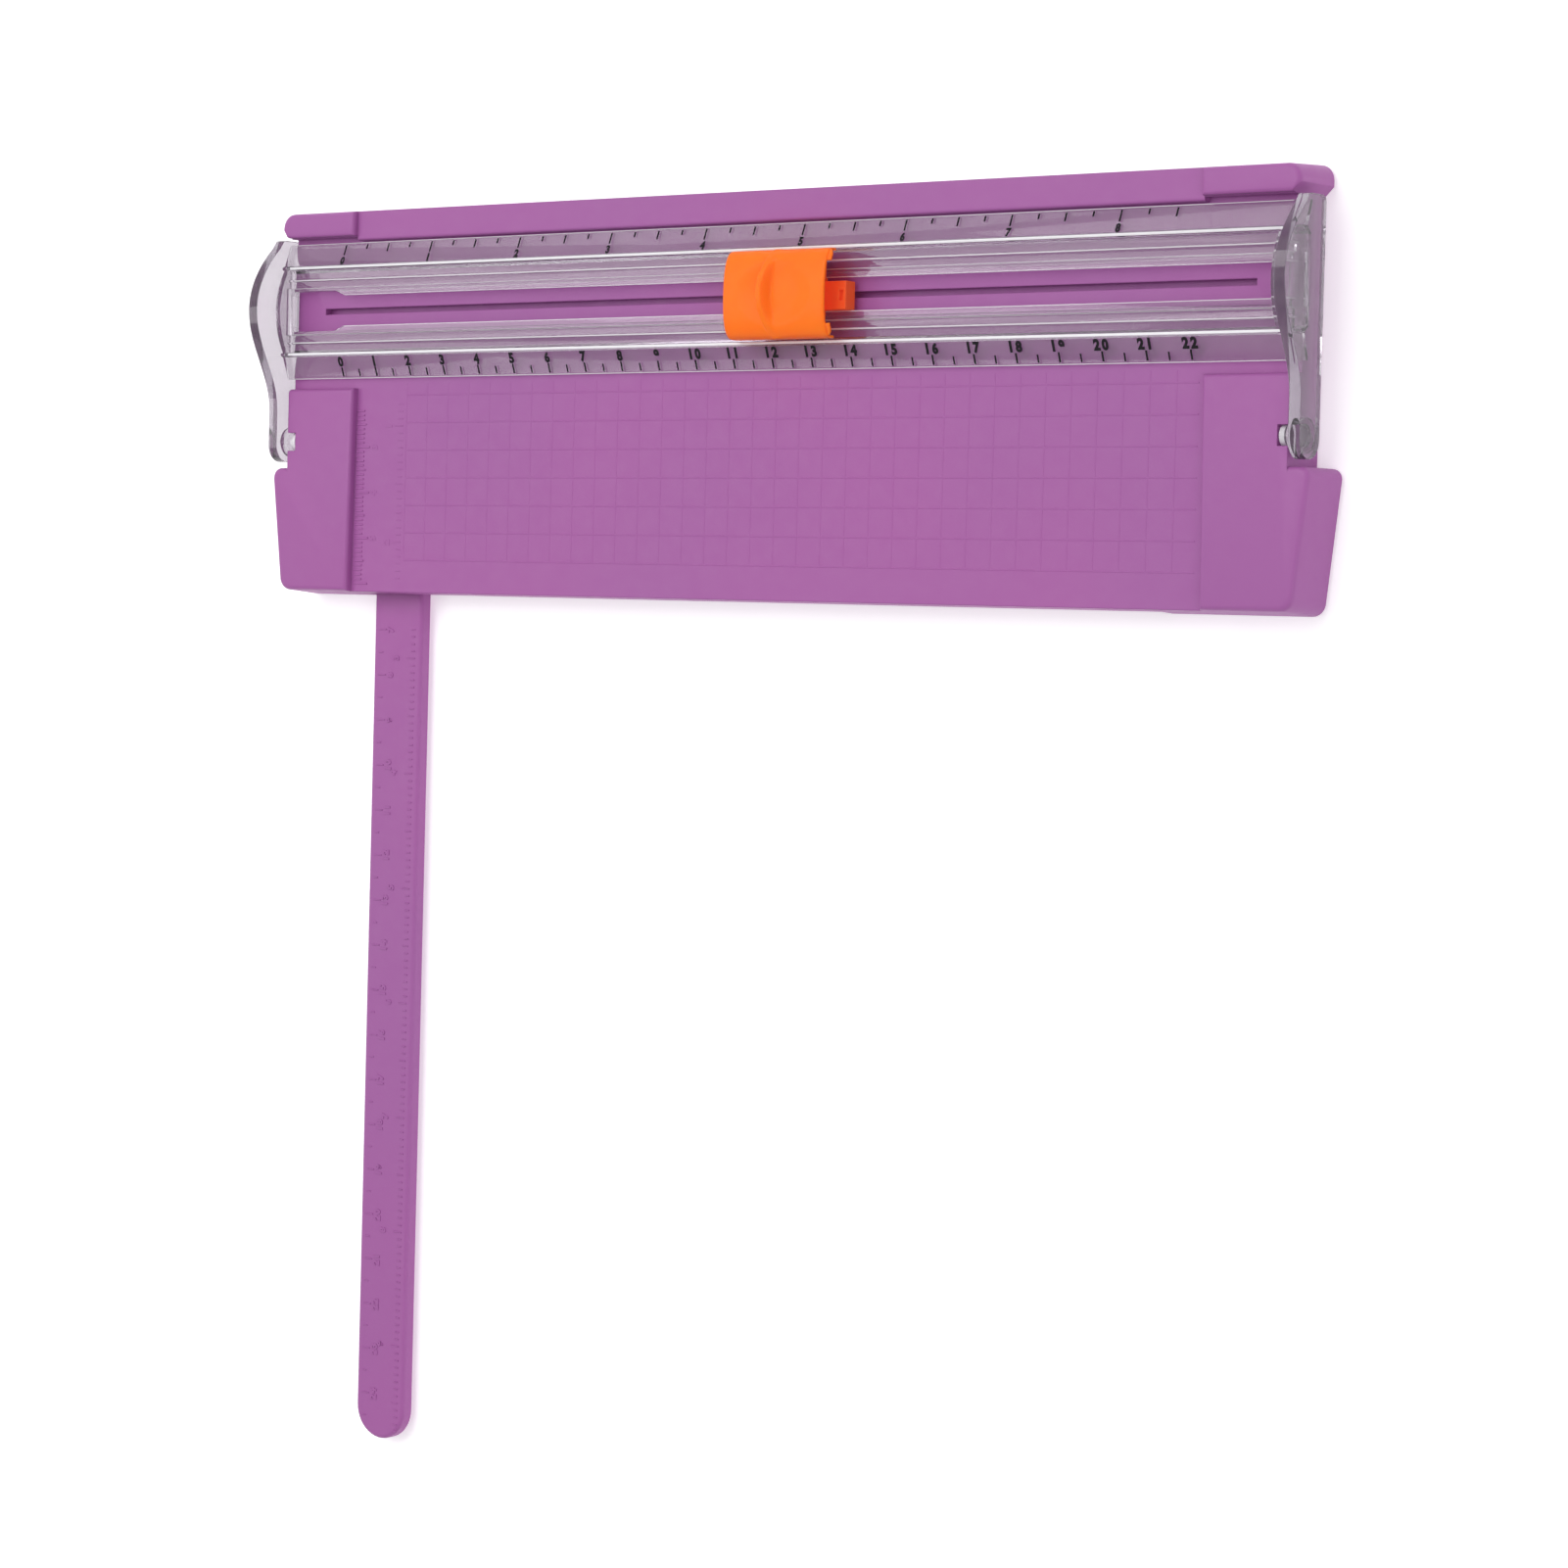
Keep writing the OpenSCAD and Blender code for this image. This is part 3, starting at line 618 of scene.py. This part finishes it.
def build_centimetres():
    """Centimetres on the front wing, with their figures read from the front."""
    bm = bmesh.new()
    side = -1
    for half in range(CM_COUNT * 2 + 1):
        x = CM_ZERO_X + half * 5
        if half % 2:
            add_ink_tick(bm, x, side, 1.6, 0.38)
            continue
        add_ink_tick(bm, x, side, 1.95, 0.44)
        add_number(bm, half // 2, wing(x, 12.4, side), RIGHT, wing_inward(side), 2.4, INK_T, INK_SINK)
    new_piece("print_centimetres", bm, INK, "rail")


def build_inches():
    """Inches on the back wing, with quarter-inch ticks and smaller figures."""
    bm = bmesh.new()
    side = 1
    for quarter in range(INCH_COUNT * 4 + 3):
        x = CM_ZERO_X + quarter * INCH / 4
        add_ink_tick(bm, x, side, tick_length(quarter, 4, (2.3, 1.8, 1.1)), 0.4)
        if quarter % 4 == 0:
            inch = quarter // 4
            add_number(bm, inch, wing(x, 10.05, side), RIGHT, -wing_inward(side), 1.9, INK_T, INK_SINK)
    new_piece("print_inches", bm, INK, "rail")


# ---------------------------------------------------------------- Cartridge

# Heights above the deck, along the middle and at the sides
CROWN = 9.5
SHOULDER = 6.0
ARCH_POWER = 2.6
CAP_WALL = 0.45
EDGE_R = 0.55
# How far the prongs reach past the cap's right end
PRONG = 1.1
BODY_END = CAP_X1 - PRONG
CAP_MIDDLE = (CAP_X0 + BODY_END) / 2
# Thumb fin: bowed in plan and in height, steep on the left and sloping on the right
FIN_X = CAP_MIDDLE - 2.5
FIN_RISE = 1.5
FIN_BOW = 21.0
FIN_ROUND = 12.5
FIN_HALF = 0.95
FIN_STEEP = 0.42
FIN_SLOPE = 1.5
# Thumb dish: half its length and width, and its depth
DISH_LONG = 10.0
DISH_WIDE = 7.1
DISH_DEEP = 0.85
# Prongs: inner and outer side, corner rounding, and the cut-back of the side walls under them
PRONG_IN = 6.4
PRONG_OUT = 8.65
PRONG_ROUND = 1.5
PRONG_LOW = 1.7
PRONG_RUN = 3.0
PRONG_START = 0.4


def arch_height(y):
    """Height of the cap's arched back over the deck, without its dish and fin."""
    t = min(1.0, abs(y) / CAP_HALF) ** ARCH_POWER
    return SHOULDER + (CROWN - SHOULDER) * (1 - t) ** (1 / ARCH_POWER)


def soft_step(value):
    """From 0 to 1 as value does, flat at both ends."""
    value = min(1.0, max(0.0, value))
    return value * value * (3 - 2 * value)


def cap_height(x, y):
    """Height of the cap's top: arch, thumb dish, and the bowed fin across it."""
    height = arch_height(y)
    spread = ((x - CAP_MIDDLE) / DISH_LONG) ** 2 + (y / DISH_WIDE) ** 2
    height -= DISH_DEEP * soft_step(1.15 * (1 - spread))
    fin_line = FIN_X + FIN_BOW - math.sqrt(FIN_BOW**2 - y * y)
    fin_top = CROWN + FIN_RISE - FIN_ROUND + math.sqrt(FIN_ROUND**2 - y * y)
    slope = FIN_SLOPE if x > fin_line else FIN_STEEP
    side = soft_step((FIN_HALF + slope / 2 - abs(x - fin_line)) / slope)
    height += max(0.0, fin_top - height) * side
    for end in (CAP_X0, BODY_END):
        near = abs(x - end)
        if near < EDGE_R:
            height -= EDGE_R * 0.8 * (1 - math.sqrt(1 - (1 - near / EDGE_R) ** 2))
    return height


def cap_stations():
    """Places along the cap, close together where the fin stands."""
    stations = [CAP_X0, CAP_X0 + 0.08, CAP_X0 + 0.25, CAP_X0 + EDGE_R]
    x = CAP_X0 + EDGE_R
    while x < BODY_END - EDGE_R - 0.4:
        fine = FIN_X - 1.4 < x < FIN_X + 3.8
        x += 0.1 if fine else 0.4
        stations.append(x)
    stations += [BODY_END - EDGE_R, BODY_END - 0.25, BODY_END - 0.08, BODY_END]
    return stations + [BODY_END + 0.35, BODY_END + 0.75, CAP_X1 - 0.1, CAP_X1]


def wall_foot(x):
    """How far the foot of the side walls is cut back upwards at x, below the prongs."""
    return PRONG_LOW * min(1.0, max(0.0, (x - CAP_X1 + PRONG_RUN) / (PRONG_RUN - PRONG_START)))


def rounded_prong(x, y):
    """Draws the prongs' outer corners back, so that they end in a rounded corner."""
    corner = max(0.0, abs(y) - PRONG_OUT + PRONG_ROUND) / PRONG_ROUND
    past = max(0.0, x - (BODY_END - PRONG_START))
    return x - past * (1 - math.sqrt(1 - min(1.0, corner) ** 2)) * 0.8


def cap_rows():
    """Places across the cap, as y and the share of the side wall's height (None on the arch)."""
    count = 68
    arch = [(-CAP_HALF * math.cos(math.pi * i / count), None) for i in range(count + 1)]
    return [(-CAP_HALF, 0), (-CAP_HALF, 0.5)] + arch + [(CAP_HALF, 0.5), (CAP_HALF, 0)]


def add_cap_surface(bm):
    """The cap's arch, side walls and prongs as one sheet. Returns its left edge, without the side walls."""
    stations, rows = cap_stations(), cap_rows()
    grid = []
    for x in stations:
        line = []
        foot = CAP_LOW + wall_foot(x)
        for y, share in rows:
            top = cap_height(x, y)
            height = top if share is None else foot + (top - foot) * share
            line.append(bm.verts.new(spot(rounded_prong(x, y), y, height)))
        grid.append(line)
    for i in range(len(stations) - 1):
        for j in range(len(rows) - 1):
            middle_y = (rows[j][0] + rows[j + 1][0]) / 2
            if stations[i] > BODY_END - 0.01 and not PRONG_IN < abs(middle_y) < PRONG_OUT:
                continue
            bm.faces.new((grid[i][j], grid[i + 1][j], grid[i + 1][j + 1], grid[i][j + 1]))
    return grid[0][2:-2]


def add_end_wall(bm, above):
    """Left end wall, from the arch's edge down to just above the guide lips."""
    low = (DECK_Z + CAP_LOW + 0.5) * MM
    previous = above
    for step in (0.25, 0.5, 0.75, 1.0):
        line = [bm.verts.new((v.co.x, v.co.y, v.co.z + (low - v.co.z) * step)) for v in above]
        for k in range(len(line) - 1):
            bm.faces.new((previous[k], previous[k + 1], line[k + 1], line[k]))
        previous = line


def build_cap():
    """Arched shell with a bowed thumb fin, an end wall on the left and two prongs on the right."""
    bm = bmesh.new()
    add_end_wall(bm, add_cap_surface(bm))
    loose = [v for v in bm.verts if not v.link_faces]
    bmesh.ops.delete(bm, geom=loose, context="VERTS")
    for face in bm.faces:
        face.smooth = True
    cap = new_piece("slider_cap_shell", bm, ORANGE, "cap")
    shell = cap.modifiers.new("wall", "SOLIDIFY")
    shell.thickness = CAP_WALL * MM
    shell.offset = -1
    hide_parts("slider_cap")


def build_carriage():
    refined("slider_carriage", "slider_runner", SHADED_RUNNER_ORANGE, "carriage",
            0.35, lambda edge: 1.0)


def build_springs():
    """The two coil springs at their CAD length, smooth shaded; nothing here shortens them when the cap is
    pressed.
    """
    bm = bmesh.new()
    bm.from_mesh(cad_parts["press_springs"].data)
    for face in bm.faces:
        face.smooth = True
    springs = new_piece("coil_springs", bm, WIRE, "carriage")
    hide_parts("press_springs")
    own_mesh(springs)


def paint_small_parts():
    """Materials for the CAD nodes that stay as they are."""
    finishes = {
        "rubber_feet": RUBBER,
        "blade_holder": NYLON,
        "wheel_axle": STEEL,
        "wheel_hub": NYLON,
        "cutter_wheel": STEEL,
        "friction_washer": NYLON,
        "pivot_washer": STEEL,
        "ruler_pivot_screw": STEEL,
    }
    for node, material in finishes.items():
        paint(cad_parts[node], material)


# ---------------------------------------------------------------- Room


def aim(obj, place, target, up):
    """Puts obj at place, looking at target with up towards the top."""
    back = (place - target).normalized()
    right = up.cross(back).normalized()
    turn = Matrix((right, back.cross(right), back)).transposed()
    obj.matrix_world = Matrix.Translation(place) @ turn.to_4x4()


def direction(azimuth, elevation):
    """Unit vector towards a place seen at azimuth (0 is in front, 90 on the right) and elevation."""
    a, e = math.radians(azimuth), math.radians(elevation)
    return Vector((math.sin(a) * math.cos(e), -math.cos(a) * math.cos(e), math.sin(e)))


def build_camera():
    """Camera above the right end, with the trimmer's length across the picture."""
    data = bpy.data.cameras.new("camera")
    data.sensor_width = 36
    data.lens = 96.73
    data.clip_start, data.clip_end = 0.01, 20
    camera = bpy.data.objects.new("camera", data)
    bpy.context.scene.collection.objects.link(camera)
    target = spot(11.61, -98.97)
    place = target + direction(93.57, 52.46) * 0.8585
    roll = Matrix.Rotation(math.radians(1.55), 3, (place - target).normalized())
    aim(camera, place, target, roll @ BACK)
    bpy.context.scene.camera = camera


def add_softbox(name, azimuth, elevation, distance, size, power):
    """A rectangular light that looks at the trimmer from the given direction, sizes in metres."""
    light = bpy.data.lights.new(name, "AREA")
    light.shape = "RECTANGLE"
    light.size, light.size_y = size
    light.energy = power
    obj = bpy.data.objects.new(name, light)
    bpy.context.scene.collection.objects.link(obj)
    target = spot(0, -60)
    aim(obj, target + direction(azimuth, elevation) * distance, target, UP)


# Strength of the studio walls as light, and as seen in reflections
WORLD_LIGHT = 0.55
WORLD_SHINE = 1.15


def build_world():
    """Pale studio walls with a few soft darker bands, shown brighter in reflections."""
    world = bpy.data.worlds.new("studio")
    world.use_nodes = True
    tree = world.node_tree
    links = tree.links
    background = tree.nodes["Background"]
    place = tree.nodes.new("ShaderNodeTexCoord").outputs["Generated"]
    bands = tree.nodes.new("ShaderNodeTexNoise")
    bands.inputs["Scale"].default_value = 2.2
    bands.inputs["Detail"].default_value = 1.0
    links.new(place, bands.inputs["Vector"])
    ramp = tree.nodes.new("ShaderNodeValToRGB")
    ramp.color_ramp.elements[0].position = 0.38
    ramp.color_ramp.elements[0].color = (0.45, 0.45, 0.48, 1)
    ramp.color_ramp.elements[1].position = 0.55
    ramp.color_ramp.elements[1].color = (1, 1, 1, 1)
    links.new(bands.outputs["Fac"], ramp.inputs["Fac"])
    links.new(ramp.outputs["Color"], background.inputs["Color"])
    path = tree.nodes.new("ShaderNodeLightPath")
    strength = tree.nodes.new("ShaderNodeMapRange")
    strength.inputs["To Min"].default_value = WORLD_LIGHT
    strength.inputs["To Max"].default_value = WORLD_SHINE
    links.new(path.outputs["Is Glossy Ray"], strength.inputs["Value"])
    links.new(strength.outputs["Result"], background.inputs["Strength"])
    bpy.context.scene.world = world


def build_floor():
    """A wide flat floor at the table's height."""
    bm = bmesh.new()
    reach = 4.0
    corners = [bm.verts.new((x * reach, y * reach, 0)) for x, y in ((-1, -1), (1, -1), (1, 1), (-1, 1))]
    bm.faces.new(corners)
    mesh = bpy.data.meshes.new("floor")
    bm.to_mesh(mesh)
    bm.free()
    floor = bpy.data.objects.new("floor", mesh)
    bpy.context.scene.collection.objects.link(floor)
    paint(floor, pale_floor())


def build_room():
    """Floor, studio walls and three soft lights."""
    build_floor()
    build_world()
    add_softbox("key_softbox", 195, 62, 1.5, (1.1, 1.1), 11.2)
    add_softbox("right_softbox", 80, 34, 1.6, (1.2, 0.7), 4.2)
    add_softbox("left_softbox", 266, 50, 1.7, (0.8, 0.5), 3.0)
    bpy.context.scene.view_settings.view_transform = "Standard"


build_base()
build_grid()
build_deck_scales()
build_ruler()
build_rail()
build_centimetres()
build_inches()
build_cap()
build_carriage()
build_springs()
paint_small_parts()
build_room()
build_camera()

bpy.context.view_layer.update()
